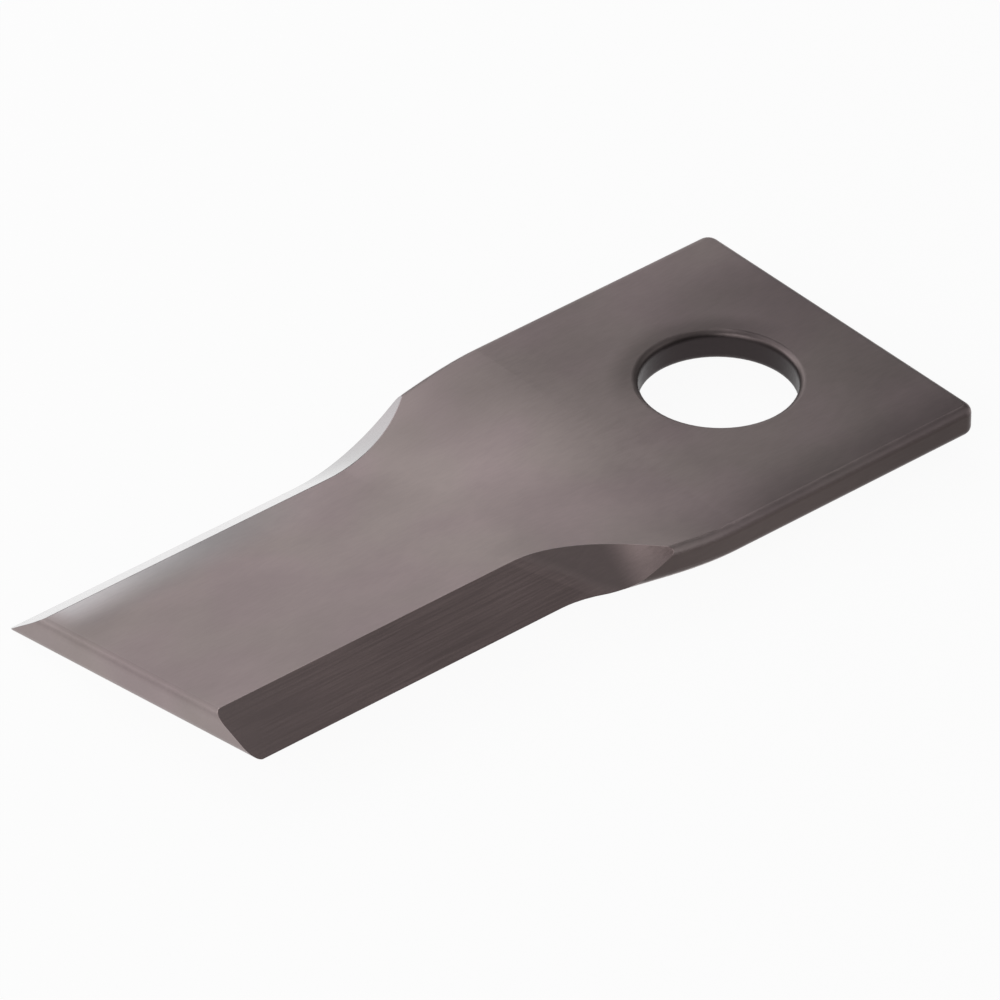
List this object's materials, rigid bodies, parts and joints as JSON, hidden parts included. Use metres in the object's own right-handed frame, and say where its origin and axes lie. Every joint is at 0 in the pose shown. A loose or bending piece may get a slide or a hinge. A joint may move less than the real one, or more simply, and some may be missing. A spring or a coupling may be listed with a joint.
{
  "type": "rotary mower blade",
  "caption": "Flat steel mower blade with a round bolt hole in its square head, a slight twist along its length and ground bevels along the cutting end.",
  "frame": {"origin": "centre of the bolt hole, at half the thickness of the head", "axes": "+Z along the axis of the bolt hole, out of the face that the bevels are ground on; +X along the blade from the hole to the cutting tip; +Y across the blade to the side that the twist lifts"},
  "size_m": [0.11, 0.048, 0.0095],
  "materials": {
    "blade_steel": "dark satin, smooth"
  },
  "bodies": {
    "root": {"mower_blade": "blade_steel"}
  },
  "joints": []
}
